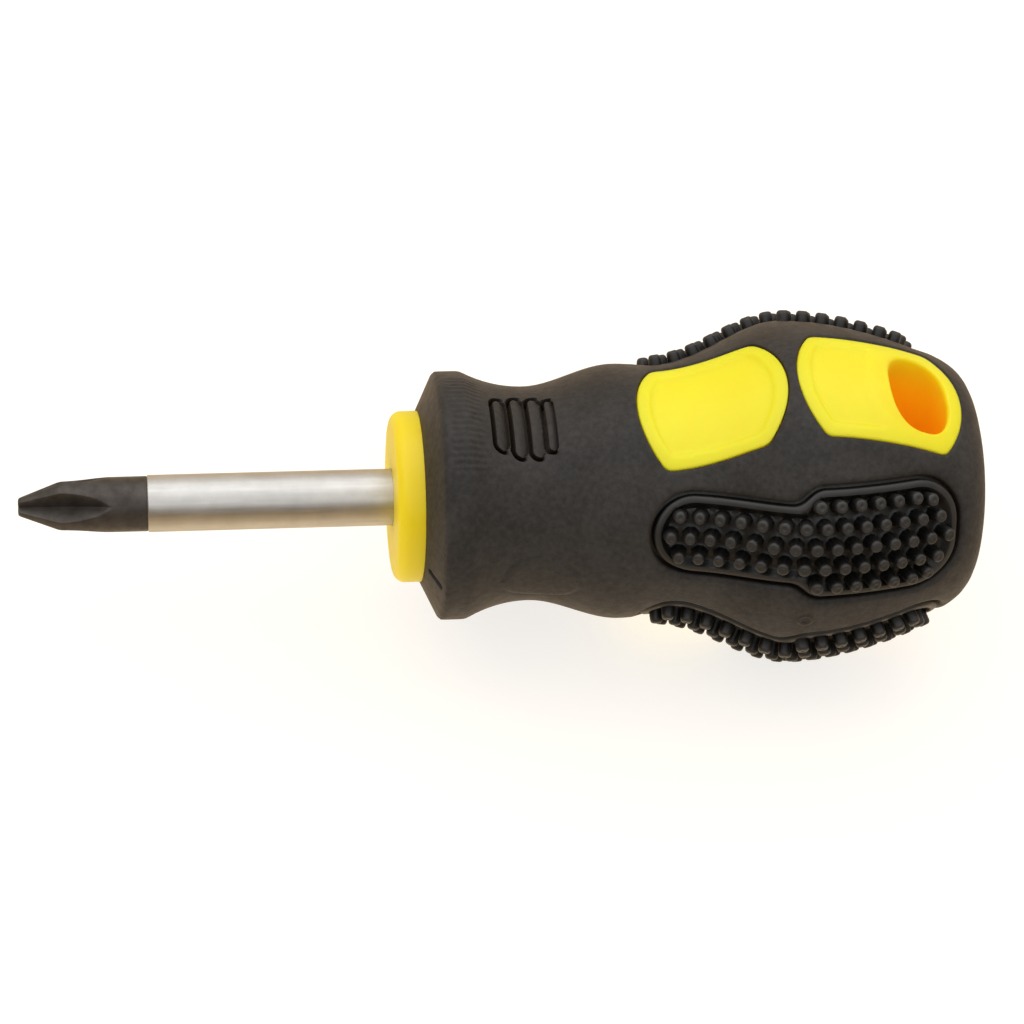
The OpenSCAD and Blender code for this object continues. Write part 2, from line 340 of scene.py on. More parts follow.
def triangulate(lines, filler, holes):
    """Delaunay triangles that keep every line's segments as edges.

    Returns the points, the triangles outside the holes, and each line's point numbers.
    """
    points, edges, starts = [], [], []
    for line in lines:
        closed = len(line) > 2 and np.allclose(line[0], line[-1])
        body = line[:-1] if closed else line
        first = len(points)
        starts.append((first, len(body)))
        points.extend(Vector(p) for p in body)
        count = len(body) if closed else len(body) - 1
        edges += [(first + i, first + (i + 1) % len(body)) for i in range(count)]
    points.extend(Vector(p) for p in filler)
    made, _, faces, origin, _, _ = geometry.delaunay_2d_cdt(points, edges, [], 0, 1e-6)
    flat = np.array([tuple(p) for p in made])
    triangles = np.array([f for f in faces if len(f) == 3])
    where = {i: k for k, own in enumerate(origin) for i in own}
    numbers = [np.array([where[first + i] for i in range(n)]) for first, n in starts]
    centres = flat[triangles].mean(axis=1)
    keep = np.ones(len(triangles), bool)
    for hole in holes:
        keep &= ~in_polygon(centres, hole)
    return flat, triangles[keep], numbers


# ---------------------------------------------------------------- mesh building
class Shell:
    """The points and faces of a piece, or of the quarter of it that mirroring completes."""

    def __init__(self):
        self.points = []
        self.faces = []
        self.count = 0

    def add(self, points):
        points = np.asarray(points, float).reshape(-1, 3)
        self.points.append(points)
        self.count += len(points)
        return np.arange(self.count - len(points), self.count)

    def patch(self, points, triangles):
        numbers = self.add(points)
        self.faces += [tuple(numbers[list(t)]) for t in triangles]
        return numbers

    def strip(self, a, b, closed=False):
        n = len(a)
        for i in range(n if closed else n - 1):
            j = (i + 1) % n
            self.faces.append((a[i], a[j], b[j], b[i]))

    def fan(self, row, point, closed=False):
        tip = self.add([point])[0]
        n = len(row)
        for i in range(n if closed else n - 1):
            self.faces.append((row[i], row[(i + 1) % n], tip))

    def build(self, name, mirrored=False, sharp=40):
        points = np.concatenate(self.points) * MM
        points[:, 2] = smooth_min(points[:, 2], FLAT_Z * MM, FLAT_ROUND * MM)
        mesh = bpy.data.meshes.new(name)
        mesh.from_pydata(points.tolist(), [], [tuple(int(i) for i in f) for f in self.faces])
        bm = bmesh.new()
        bm.from_mesh(mesh)
        if mirrored:
            for side in (1, 2):
                flip = [1, 1, 1]
                flip[side] = -1
                twin = bmesh.ops.duplicate(bm, geom=bm.verts[:] + bm.edges[:] + bm.faces[:])["geom"]
                moved = [e for e in twin if isinstance(e, bmesh.types.BMVert)]
                bmesh.ops.transform(bm, matrix=Matrix.Diagonal((*flip, 1)), verts=moved)
        bmesh.ops.remove_doubles(bm, verts=bm.verts, dist=0.004 * MM)
        bmesh.ops.dissolve_degenerate(bm, edges=bm.edges, dist=0.0005 * MM)
        # a window's mesh lines cross the hang hole's rim, which leaves cracks of three sides
        cracks = [e for e in bm.edges if len(e.link_faces) == 1]
        bmesh.ops.holes_fill(bm, edges=cracks, sides=3)
        bmesh.ops.recalc_face_normals(bm, faces=bm.faces)
        open_edges = sum(1 for e in bm.edges if len(e.link_faces) != 2)
        if bm.calc_volume(signed=True) < 0:
            bmesh.ops.reverse_faces(bm, faces=bm.faces)
        bm.to_mesh(mesh)
        bm.free()
        mesh.shade_smooth()
        mesh.set_sharp_from_angle(angle=math.radians(sharp))
        print(name, "faces", len(mesh.polygons), "open edges", open_edges)
        made = bpy.data.objects.new(name, mesh)
        bpy.context.scene.collection.objects.link(made)
        return made


def piece(obj, node, material):
    """Puts a finished piece in the frame in place of its CAD node."""
    obj.data.materials.append(material)
    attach(obj, "root")
    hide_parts(node)


# ---------------------------------------------------------------- grip
def flat_to_surface(line, angle):
    """A flat outline, seen along an angle round the tool, laid on the rubber as (s, v)."""
    s = rubber.s_at(line[:, 0])
    turn = np.arcsin(np.clip(line[:, 1] / rubber.r_at(line[:, 0]), -1, 1))
    return np.stack([s, (math.radians(angle) + turn) * REF_R], 1)


def window_to_surface(line):
    """A window's outline as (x, v), for the meshes that are flat in x and not in arc length."""
    return np.stack([line[:, 0], np.arcsin(line[:, 1] / rubber.r_at(line[:, 0])) * REF_R], 1)


# The neck's four bars: centre from the collar's face, width, half length.
BARS = ((10.86, 1.35, 3.35), (12.76, 1.35, 3.9), (14.6, 1.35, 3.9), (16.1, 0.98, 3.35))
BARS_MIDDLE_X = 13.5
BAR_STEP = 0.15                           # spacing of the mesh points round the bars
SLOT = 1.1                                # depth of the slot in front of each bar
BAR_FALL = 0.42                           # how far each bar slopes down to its rear side
BADGE_X = 14.8                            # the blank oval badge on the side of the neck
GROOVE_PITCH = math.radians(3.3)          # the band's fine grooves
LIP_REACH = 0.62                          # the rounded lip of a pad's pocket
LIP_DROP = 0.5
RING_X = 41.8                             # the gate ring beside the palm


def bar_edge(x, across, bar):
    """Signed distance to the edge of a bar in the neck."""
    return stadium(x - COLLAR_X - bar[0], across, bar[1] / 2, bar[2])


def bars_edge(x, across):
    """Signed distance to the edge of the four bars together."""
    return np.min([bar_edge(x, across, bar) for bar in BARS], axis=0)


def bars_height(x, across):
    """Four bars that slope down to the rear, with a deep slot round the front of each."""
    height = np.zeros_like(x)
    for bar in BARS:
        edge = bar_edge(x, across, bar)
        behind = (x - COLLAR_X - bar[0]) / (bar[1] / 2)
        slope = -BAR_FALL * ramp(behind, -0.5, 1.0) * ramp(-edge, -0.05, 0.05)
        beside = ramp(edge, -0.03, 0.1) * (1 - ramp(edge, 0.34, 0.46))
        slot = -SLOT * beside * (1 - ramp(behind, -0.1, 0.8))
        height = np.minimum(height, np.minimum(slope, slot))
    return height


def bar_lines():
    """The mesh lines round the bars, on the half where across is positive."""
    lines = []
    for bar in BARS:
        middle = COLLAR_X + bar[0]
        for level in (-0.34, -0.18, -0.06, 0.0, 0.05, 0.11):
            lines.append(contour(lambda x, t: bar_edge(x, t, bar), middle, level, BAR_STEP, half=True))
    middle = COLLAR_X + BARS_MIDDLE_X
    for level in (0.22, 0.34, 0.46, 0.6):
        lines.append(contour(bars_edge, middle, level, BAR_STEP, half=True))
    return lines


def band_height(x, angle):
    """Fine grooves along the band, fading out at the patch's ends."""
    wave = 0.5 - 0.5 * np.cos(2 * math.pi * angle / GROOVE_PITCH)
    ends = ramp(x, COLLAR_X + 5.25, COLLAR_X + 5.6) * (1 - ramp(x, COLLAR_X + 8.4, COLLAR_X + 9.4))
    sides = 1 - ramp(np.abs(angle), math.radians(27), math.radians(29.5))
    return -0.09 * wave * ends * sides


def side_height(x, s, angle):
    """The blank oval badge, the slit in the front cone and the gate ring, on the tool's side."""
    off = (angle - math.radians(90)) * rubber.r_at(x)
    badge = np.hypot((x - COLLAR_X - BADGE_X) / 4.0, off / 3.4) - 1
    height = 0.14 * (1 - ramp(badge, -0.1, 0.02)) - 0.05 * (1 - ramp(np.abs(badge - 0.04), 0.0, 0.07))
    middle = (rubber.s_at(RUBBER_X) + rubber.s_at(COLLAR_X + BAND_X)) / 2
    slit = stadium(s - middle, off, 1.35, 0.3)
    height -= 0.6 * (1 - ramp(slit, -0.2, 0.12))
    ring = np.hypot(x - COLLAR_X - RING_X, off)
    height += 0.09 * (1 - ramp(np.abs(ring - 0.68), 0.05, 0.25)) - 0.1 * (1 - ramp(ring, 0.2, 0.55))
    return height


def grip_height(s, angle):
    x, r, _, _ = rubber.at(s)
    across_pad = r * np.sin(angle - math.radians(60))
    pad = pad_distance(x, across_pad)
    lip = -LIP_DROP * (1 - np.sqrt(1 - np.clip(1 - pad / LIP_REACH, 0, 0.98) ** 2))
    pocket = np.where(pad < -0.02, -POCKET_DEPTH, lip)
    window = windows_distance(x, r * np.sin(angle))
    edge = -0.06 * (1 - ramp(window, 0.0, 0.3)) ** 2
    facing = bars_height(x, r * np.sin(angle)) + band_height(x, angle)
    return pocket + edge + facing + side_height(x, s, angle)


def groove_grid(s0, s1):
    """Points in rows along the band's grooves, several to each groove."""
    step = GROOVE_PITCH * REF_R / 6
    rows = np.arange(step, math.radians(30) * REF_R, step)
    places = np.arange(s0, s1, 0.28)
    return np.stack([np.tile(places, len(rows)), np.repeat(rows, len(places))], 1)


def edge_lines(u0, u1, step):
    """The four sides of a quarter's flat region, with even columns fore and aft."""
    columns = np.linspace(0, QUARTER, COLUMNS + 1)
    rows = np.linspace(u0, u1, int((u1 - u0) / step) + 1)
    return [np.stack([np.full_like(columns, u0), columns], 1),
            np.stack([np.full_like(columns, u1), columns], 1),
            np.stack([rows, np.zeros_like(rows)], 1),
            np.stack([rows, np.full_like(rows, QUARTER)], 1)]


def window_lines(level, step):
    """Both windows' outlines at a distance from their edges, on the half where across is positive."""
    lines = []
    for w in (FRONT_WINDOW, REAR_WINDOW):
        middle = COLLAR_X + (w[0] + w[1]) / 2
        lines.append(contour(lambda x, t: window_distance(x, t, w), middle, level, step, half=True))
    return lines


def make_grip(material):
    shell = Shell()
    s0, s1 = 0.0, rubber.s_at(COLLAR_X + 61.0)
    pad_centre = COLLAR_X + PAD_STEP_X
    window_edges = window_lines(0.0, 0.3)
    lines = edge_lines(s0, s1, 0.6)
    lines += [flat_to_surface(w, 0) for w in window_edges]
    lines += [flat_to_surface(w, 0) for level in (0.12, 0.32) for w in window_lines(level, 0.3)]
    for level, step in ((-0.04, 0.25), (0.0, 0.25), (0.03, 0.25), (0.1, 0.25), (0.2, 0.25),
                        (0.36, 0.25), (0.62, 0.3)):
        lines.append(flat_to_surface(contour(pad_distance, pad_centre, level, step), 60))
    lines += [flat_to_surface(b, 0) for b in bar_lines()]
    s_of = lambda distance: rubber.s_at(COLLAR_X + distance)
    fine = [
        groove_grid(s_of(5.1), s_of(9.6)),
        hex_grid(s_of(9.6), s_of(17.2), 0, 4.5, 0.12),
        hex_grid(s_of(10.2), s_of(19.4), QUARTER - 5.3, QUARTER, 0.3),
        hex_grid(s0 + 0.2, s_of(5.2), QUARTER - 1.1, QUARTER, 0.14),
        hex_grid(s_of(40.5), s_of(43.1), QUARTER - 1.2, QUARTER, 0.12),
    ]
    taken = np.concatenate(lines)
    filler = np.zeros((0, 2))
    for grid, gap in [(g, 0.1) for g in fine] + [(hex_grid(s0, s1, 0, QUARTER, 0.75), 0.45)]:
        kept = clear_of(grid, np.concatenate([taken, filler]), gap)
        filler = np.concatenate([filler, kept]) if len(kept) else filler
    holes = [flat_to_surface(w, 0) for w in window_edges]
    flat, triangles, numbers = triangulate(lines, filler, holes)
    s, angle = flat[:, 0], flat[:, 1] / REF_R
    x, r, nx, nr = rubber.at(s)
    height = grip_height(s, angle)
    on_edge = np.concatenate([numbers[4], numbers[5]])
    height[on_edge] = -0.16
    outer = shell.patch(round_x(x + height * nx, r + height * nr, angle), triangles)
    outer_rows = [outer[n] for n in numbers]

    # the inner face lies on the core
    x0, x1 = RUBBER_X, COLLAR_X + CORE_TAIL_X
    lines = edge_lines(x0, x1, 2.0)
    at_window = [window_to_surface(w) for w in window_edges]
    lines += at_window
    filler = clear_of(hex_grid(x0, x1, 0, QUARTER, 2.0), np.concatenate(lines), 0.9)
    flat, triangles, numbers = triangulate(lines, filler, at_window)
    inside = round_x(flat[:, 0], core_radius(flat[:, 0]) + CLEARANCE, flat[:, 1] / REF_R)
    inner = shell.patch(inside, triangles)
    inner_rows = [inner[n] for n in numbers]
    shell.strip(outer_rows[0], inner_rows[0])
    shell.strip(outer_rows[4], inner_rows[4])
    shell.strip(outer_rows[5], inner_rows[5])

    # the butt, outside and in
    columns = np.linspace(0, math.radians(90), COLUMNS + 1)
    row = outer_rows[1]
    for s in np.linspace(s1, rubber.s[-1], 16)[1:-1]:
        x, r, _, _ = rubber.at(s)
        new = shell.add(round_x(x, r, columns))
        shell.strip(row, new)
        row = new
    shell.fan(row, (rubber.x[-1], 0, 0))
    tail = shell.add(round_x(COLLAR_X + CORE_END_X + CLEARANCE, CORE_END_R, columns))
    shell.strip(inner_rows[1], tail)
    shell.fan(tail, (COLLAR_X + CORE_END_X + CLEARANCE, 0, 0))
    piece(shell.build("grip_rubber_shell", mirrored=True), "grip", material)


# ---------------------------------------------------------------- pads
def pad_section(inset):
    """Height of a pad's groove, skirt and floor at a distance in from its edge."""
    at = [0.0, 0.3, 0.36, 0.44, 0.55, 0.7, 0.9, 1.15, 1.35, 1.6, 1.85]
    height = [-1.0, -1.0, -0.7, -0.4, -0.24, -0.18, -0.16, -0.2, -0.45, -0.9, -1.05]
    return np.interp(inset, at, height)


STUD = [(0.86, -1.0), (0.79, -0.93), (0.755, -0.75), (0.72, 0.0), (0.69, 0.5), (0.65, 0.68), (0.58, 0.8),
        (0.48, 0.88), (0.36, 0.92), (0.25, 0.91), (0.14, 0.87), (0.05, 0.85)]     # radius, height


def stud_height(distance):
    radii, heights = zip(*reversed(STUD))
    return np.interp(distance, radii, heights, right=-9)


def stud_places():
    """Flat positions of a pad's studs: a middle row and two staggered rows on each side."""
    places = [(27.65 + i * STUD_PITCH, 0) for i in range(15)]
    for way in (-1, 1):
        places += [(28.6 + i * STUD_PITCH, way * ROW_PITCH) for i in range(14)]
        places += [(42.3 + i * STUD_PITCH, way * 2 * ROW_PITCH) for i in range(6)]
        places.append((54.3, way * 1.82 * ROW_PITCH))
    return [(COLLAR_X + x, t) for x, t in places]


def make_pad(name, angle, material):
    shell = Shell()
    pad_centre = COLLAR_X + PAD_STEP_X
    rim = contour(pad_distance, pad_centre, -CLEARANCE, 0.3)
    insets = (0.3, 0.36, 0.44, 0.55, 0.7, 0.9, 1.15, 1.35, 1.6, 1.85)
    lines = [flat_to_surface(rim, 0)]
    lines += [flat_to_surface(contour(pad_distance, pad_centre, -i, 0.3), 0) for i in insets]
    turns = np.linspace(0, 2 * math.pi, STUD_SIDES + 1)
    studs, ring_heights = [], []
    for x, across in stud_places():
        r = rubber.r_at(x)
        centre = np.array([rubber.s_at(x), math.asin(across / r) * REF_R])
        studs.append((*centre, r / REF_R))
        for radius, height in STUD:
            ring = centre + radius * np.stack([np.cos(turns), np.sin(turns) * REF_R / r], 1)
            ring[-1] = ring[0]
            lines.append(ring)
            ring_heights.append(height)
    low, high = lines[0].min(0), lines[0].max(0)
    filler = clear_of(hex_grid(low[0], high[0], low[1], high[1], 0.4), np.concatenate(lines), 0.2)
    filler = filler[in_polygon(filler, lines[0])]
    flat, triangles, numbers = triangulate(lines, filler, [])
    triangles = triangles[in_polygon(flat[triangles].mean(axis=1), lines[0][:-1])]
    x = rubber.at(flat[:, 0])[0]
    base = pad_section(-pad_distance(x, rubber.r_at(x) * np.sin(flat[:, 1] / REF_R)))
    height = base.copy()
    for s, v, squeeze in studs:
        height = np.maximum(height, stud_height(np.hypot(flat[:, 0] - s, (flat[:, 1] - v) * squeeze)))
    for n, h in zip(numbers[1 + len(insets):], ring_heights):
        height[n] = np.maximum(base[n], h)
    height[numbers[0]] = pad_section(0)
    turn = math.radians(angle)
    x, r, nx, nr = rubber.at(flat[:, 0])
    top = shell.patch(round_x(x + height * nx, r + height * nr, flat[:, 1] / REF_R + turn), triangles)

    filler = clear_of(hex_grid(low[0], high[0], low[1], high[1], 2.0), lines[0], 0.8)
    filler = filler[in_polygon(filler, lines[0])]
    flat, triangles, under = triangulate(lines[:1], filler, [])
    triangles = triangles[in_polygon(flat[triangles].mean(axis=1), lines[0][:-1])]
    x, r, nx, nr = rubber.at(flat[:, 0])
    below = round_x(x - PAD_UNDER * nx, r - PAD_UNDER * nr, flat[:, 1] / REF_R + turn)
    base = shell.patch(below, triangles)
    shell.strip(top[numbers[0]], base[under[0]], closed=True)
    piece(shell.build(name + "_studded"), name, material)


# ---------------------------------------------------------------- core
def island_depth(x, across):
    """How far the bare core lies below the rubber's surface inside a window."""
    window = windows_distance(x, across)
    inset = -window - WINDOW_GAP
    edge = np.interp(inset, [0.0, 0.06, 0.16, 0.3, 0.5], [0.3, 0.17, 0.11, 0.09, 0.08])
    behind = COLLAR_X + PANEL_REAR_X + PANEL_REAR_BOW
    past = PANEL_REAR_BOW - np.hypot(x - behind, across)
    in_rear = x > COLLAR_X + (FRONT_WINDOW[1] + REAR_WINDOW[0]) / 2
    panel = np.where(in_rear, smooth_max(window + PANEL_RIM, past, 0.6), window + PANEL_RIM)
    return edge + PANEL_DEPTH * (1 - ramp(panel, -0.3, 0.05))


TANG_R = 2.75
WING_X = (62.0, 70.0)
WING_HALF = (4.5, 0.8)


def tang_radius(x, angle):
    """The tang is round, with two flat wings along Y."""
    up, side = np.abs(np.cos(angle)) + 1e-6, np.abs(np.sin(angle)) + 1e-6
    wings = np.minimum(WING_HALF[0] / side, WING_HALF[1] / up)
    winged = (x > WING_X[0]) & (x < WING_X[1])
    return np.where(winged, np.maximum(wings, TANG_R), TANG_R)


def make_core(material):
    shell = Shell()
    x0, x1 = RUBBER_X + 8, COLLAR_X + CORE_TAIL_X
    lines = edge_lines(x0, x1, 0.5)
    foot = window_lines(-WINDOW_GAP + 0.02, 0.3)
    lines += [window_to_surface(w) for w in foot]
    for inset, step in ((0, 0.3), (0.06, 0.3), (0.16, 0.3), (0.3, 0.35), (0.5, 0.4),
                        (PANEL_RIM - 0.1, 0.4), (PANEL_RIM + 0.1, 0.4), (PANEL_RIM + 0.3, 0.4)):
        lines += [window_to_surface(w) for w in window_lines(-WINDOW_GAP - inset, step)]
    sweep = np.linspace(0, math.pi, 61)
    mouth = np.stack(mouth_ring(sweep, MOUTH_LIP, 0), 1)
    mouth[[0, -1], 1] = 0
    lines.append(window_to_surface(mouth))
    around = np.stack(mouth_ring(sweep, MOUTH_LIP + 0.3, 0), 1)
    around[[0, -1], 1] = 0
    lines.append(window_to_surface(around))
    taken = np.concatenate(lines)
    window_zone = hex_grid(COLLAR_X + 24, x1, 0, 7.6, 0.45)
    kept = clear_of(window_zone, taken, 0.25)
    rest = clear_of(hex_grid(x0, x1, 0, QUARTER, 1.5), np.concatenate([taken, kept]), 0.8)
    flat, triangles, numbers = triangulate(lines, np.concatenate([kept, rest]), [window_to_surface(mouth)])
    x, angle = flat[:, 0], flat[:, 1] / REF_R
    across = rubber.r_at(x) * np.sin(angle)
    inside = windows_distance(x, across) < -WINDOW_GAP + 0.01
    radius = np.where(inside, rubber.r_at(x) - island_depth(x, across), core_radius(x))
    skin = shell.patch(round_x(x, radius, angle), triangles)

    # the hang hole: a rounded lip, an oval funnel, and a round bore to the middle plane
    row = skin[numbers[-2]]
    start = round_x(x, radius, angle)[numbers[-2]]
    steps = [(0.2, 0.0, 0.06), (0.07, 0.0, 0.18), (0.0, 0.0, 0.42)]
    for grow, share, drop in steps:
        ring_x, ring_y = mouth_ring(sweep, grow, share)
        row = next_ring(shell, row, ring_x, ring_y, start[:, 2] - drop)
    for share in np.linspace(0, 1, 12)[1:]:
        ring_x, ring_y = mouth_ring(sweep, 0, smooth_step(share) * 0.5 + share * 0.5)
        z = (start[:, 2] - 0.42) * (1 - share) + BORE_TOP * share
        row = next_ring(shell, row, ring_x, ring_y, z)
    row = next_ring(shell, row, *mouth_ring(sweep, 0, 1), np.zeros_like(sweep))

    # forward to the collar, its face, and the seat of the tang; back to the hidden end
    columns = np.linspace(0, math.radians(90), COLUMNS + 1)
    row = skin[numbers[0]]
    arc = [(COLLAR_X + COLLAR_ROUND * (1 - math.sin(t)), COLLAR_R - COLLAR_ROUND * (1 - math.cos(t)))
           for t in np.linspace(0, math.radians(90), 10)]
    seat = SHANK_R + 0.02
    mouth_of_seat = [(COLLAR_X, seat + 1.6), (COLLAR_X, seat + 0.25), (COLLAR_X + 0.05, seat + 0.06),
                     (COLLAR_X + 0.25, seat), (COLLAR_X + 1.0, seat)]
    barrel = [(RUBBER_X + 4, COLLAR_R), (RUBBER_X, COLLAR_R), (RUBBER_X - 1, COLLAR_R)]
    for x, r in barrel + arc + mouth_of_seat:
        new = shell.add(round_x(x, r, columns))
        shell.strip(row, new)
        row = new
    wing_in, wing_out = WING_X
    for x in (COLLAR_X + 1.02, wing_in - 0.04, wing_in + 0.01,
              wing_out - 0.01, wing_out + 0.04, TANG_X + 0.05):
        new = shell.add(round_x(x, tang_radius(x, columns) + 0.02, columns))
        shell.strip(row, new)
        row = new
    shell.fan(row, (TANG_X + 0.05, 0, 0))
    tail = shell.add(round_x(COLLAR_X + CORE_END_X, CORE_END_R, columns))
    shell.strip(skin[numbers[1]], tail)
    shell.fan(tail, (COLLAR_X + CORE_END_X, 0, 0))
    piece(shell.build("core_yellow_moulding", mirrored=True), "core", material)


def next_ring(shell, row, x, y, z):
    """One more ring of the hang hole, on the -Y side where angles are positive."""
    x, y, z = np.broadcast_arrays(x, y, z)
    y = y.copy()
    y[[0, -1]] = 0
    new = shell.add(np.stack([x, -y, z], 1))
    shell.strip(row, new)
    return new


# ---------------------------------------------------------------- blade
POINT_X = 13.4
POINT_R = 2.9
POINT_FRONT_R = 2.88
CONE_X = 4.3
TIP_R = 1.0
VEE = math.radians(46)
FLUTE_FRONT = 0.45
FLUTE_ROOT = 0.9
RUN_OUT_X = 4.0
CUTTER_R = 9.0


def flute_root(x):
    """Distance from the axis to a flute's bottom: a slow rise, then the cutter's run-out."""
    slow = FLUTE_FRONT + (FLUTE_ROOT - FLUTE_FRONT) * np.minimum(x, RUN_OUT_X) / RUN_OUT_X
    past = np.clip(x - RUN_OUT_X, 0, CUTTER_R * 0.95)
    return slow + CUTTER_R - np.sqrt(CUTTER_R**2 - past**2)


def body_radius(x):
    cone = TIP_R + (POINT_FRONT_R - TIP_R) * x / CONE_X
    barrel = POINT_FRONT_R + (POINT_R - POINT_FRONT_R) * (x - CONE_X) / (POINT_X - CONE_X)
    return smooth_min(cone, barrel, 0.16)


def make_blade(material_shank, material_point):
    shell = Shell()
    half_wing, half_flute = 9, 12

    def columns(x):
        """Column angles within one quarter, crowded where a flute meets the surface."""
        ratio = np.clip(flute_root(x) * math.sin(VEE) / body_radius(x), 0, math.sin(VEE))
        ridge = max(VEE - math.asin(ratio), math.radians(1.2))
        spread = float(ramp(np.array(x), 9.0, 12.0))
        ridge += (math.radians(45) * half_flute / (half_flute + half_wing) - ridge) * spread
        side = np.linspace(0, 1, half_flute + 1) ** (1 - 0.25 * (1 - spread))
        flute = ridge * side
        wing = ridge + (math.radians(45) - ridge) * np.linspace(0, 1, half_wing + 1)[1:]
        half = np.concatenate([flute, wing])
        return np.concatenate([-half[:0:-1], half])[:-1]

    def ring(x):
        alpha = columns(x)
        bent = np.sqrt(alpha**2 + 0.02**2)
        cut = flute_root(x) * math.sin(VEE) / np.sin(np.maximum(VEE - bent, 0.004))
        radius = smooth_min(np.full_like(alpha, body_radius(x)), cut, 0.10)
        turns = np.concatenate([alpha + math.radians(45 + 90 * k) for k in range(4)])
        return turns, np.tile(radius, 4)

    rows = np.concatenate([[0.0, 0.05, 0.15, 0.3], np.arange(0.5, 10.2, 0.14), [10.6, 11.2, 12.0, 13.0]])
    tip_round = [0.14, 0.06, 0.015, 0.0]
    row = None
    for k, x in enumerate(rows):
        turns, radius = ring(x)
        shrink = tip_round[k] if k < len(tip_round) else 0.0
        new = shell.add(round_x(x, radius - shrink, turns))
        if row is None:
            shell.fan(new, (0.0, 0, 0), closed=True)
        else:
            shell.strip(row, new, closed=True)
        row = new
    turns = ring(13.0)[0]
    profile = [(POINT_X - 0.12, POINT_R), (POINT_X - 0.03, POINT_R - 0.03), (POINT_X, POINT_R - 0.08),
               (POINT_X + 0.01, POINT_R - 0.08), (POINT_X + 0.02, SHANK_R - 0.07),
               (POINT_X + 0.06, SHANK_R - 0.02), (POINT_X + 0.14, SHANK_R), (POINT_X + 1.0, SHANK_R)]
    profile += [(x, SHANK_R) for x in np.linspace(POINT_X + 2, COLLAR_X + 0.9, 14)]
    for x, r in profile:
        new = shell.add(round_x(x, r, turns))
        shell.strip(row, new, closed=True)
        row = new
    wing_in, wing_out = WING_X
    for x in (COLLAR_X + 0.95, wing_in - 0.02, wing_in + 0.02,
              wing_out - 0.02, wing_out + 0.02, TANG_X - 0.4):
        new = shell.add(round_x(x, tang_radius(x, turns), turns))
        shell.strip(row, new, closed=True)
        row = new
    new = shell.add(round_x(TANG_X, TANG_R - 0.4, turns))
    shell.strip(row, new, closed=True)
    shell.fan(new, (TANG_X, 0, 0), closed=True)
    made = shell.build("blade_steel", sharp=50)
    piece(made, "blade", material_shank)
    made.data.materials.append(material_point)
    for face in made.data.polygons:
        if face.center.x < (POINT_X + 0.005) * MM:
            face.material_index = 1


# ---------------------------------------------------------------- materials
class Nodes:
    """A Principled material and short ways to wire procedural texture into it."""

    def __init__(self, name, **fixed):
        self.material = bpy.data.materials.new(name)
        self.material.use_nodes = True
        self.tree = self.material.node_tree
        self.shader = self.tree.nodes["Principled BSDF"]
        for key, value in fixed.items():
            self.shader.inputs[key.replace("_", " ")].default_value = value
        self.where = self.tree.nodes.new("ShaderNodeTexCoord").outputs["Object"]

    def link(self, a, b):
        self.tree.links.new(a, b)

    def noise(self, scale, detail=3, roughness=0.55, stretch=(1, 1, 1)):
        place = self.tree.nodes.new("ShaderNodeMapping")
        place.inputs["Scale"].default_value = stretch
        self.link(self.where, place.inputs["Vector"])
        node = self.tree.nodes.new("ShaderNodeTexNoise")
        node.inputs["Scale"].default_value = scale
        node.inputs["Detail"].default_value = detail
        node.inputs["Roughness"].default_value = roughness
        self.link(place.outputs["Vector"], node.inputs["Vector"])
        return node.outputs["Fac"]

    def ramp(self, value, stops):
        node = self.tree.nodes.new("ShaderNodeValToRGB")
        band = node.color_ramp
        while len(band.elements) < len(stops):
            band.elements.new(0.5)
        for element, (at, colour) in zip(band.elements, stops):
            element.position = at
            element.color = (*colour, 1) if len(colour) == 3 else colour
        self.link(value, node.inputs["Fac"])
        return node.outputs["Color"]

    def grey(self, value, low, high, start=0.3, end=0.7):
        node = self.tree.nodes.new("ShaderNodeMapRange")
        for key, v in (("From Min", start), ("From Max", end), ("To Min", low), ("To Max", high)):
            node.inputs[key].default_value = v
        self.link(value, node.inputs["Value"])
        return node.outputs["Result"]

    def bump(self, value, strength, distance, under=None):
        node = self.tree.nodes.new("ShaderNodeBump")
        node.inputs["Strength"].default_value = strength
        node.inputs["Distance"].default_value = distance
        self.link(value, node.inputs["Height"])
        if under is not None:
            self.link(under, node.inputs["Normal"])
        return node.outputs["Normal"]

    def painted_crevice_shade(self, colour, shade_colour, reach, open_at=0.88):
        """The colour with painted shade, fading to the shade colour where the surface is closed in within
        reach metres.
        """
        node = self.tree.nodes.new("ShaderNodeAmbientOcclusion")
        node.samples = 8
        node.inputs["Distance"].default_value = reach
        openness = self.grey(node.outputs["AO"], 0, 1, open_at - 0.55, open_at)
        return self.mix(self.plain(shade_colour), colour, openness)

    def plain(self, colour):
        node = self.tree.nodes.new("ShaderNodeRGB")
        node.outputs[0].default_value = (*colour, 1)
        return node.outputs[0]

    def axes(self):
        node = self.tree.nodes.new("ShaderNodeSeparateXYZ")
        self.link(self.where, node.inputs["Vector"])
        return node.outputs

    def math(self, operation, *values):
        node = self.tree.nodes.new("ShaderNodeMath")
        node.operation = operation
        for socket, value in zip(node.inputs, values):
            if isinstance(value, (int, float)):
                socket.default_value = value
            else:
                self.link(value, socket)
        return node.outputs["Value"]

    def mix(self, a, b, share):
        node = self.tree.nodes.new("ShaderNodeMix")
        node.data_type = "RGBA"
        self.link(share, node.inputs["Factor"])
        self.link(a, node.inputs[6])
        self.link(b, node.inputs[7])
        return node.outputs[2]

    def into(self, socket, value):
        self.link(value, self.shader.inputs[socket])


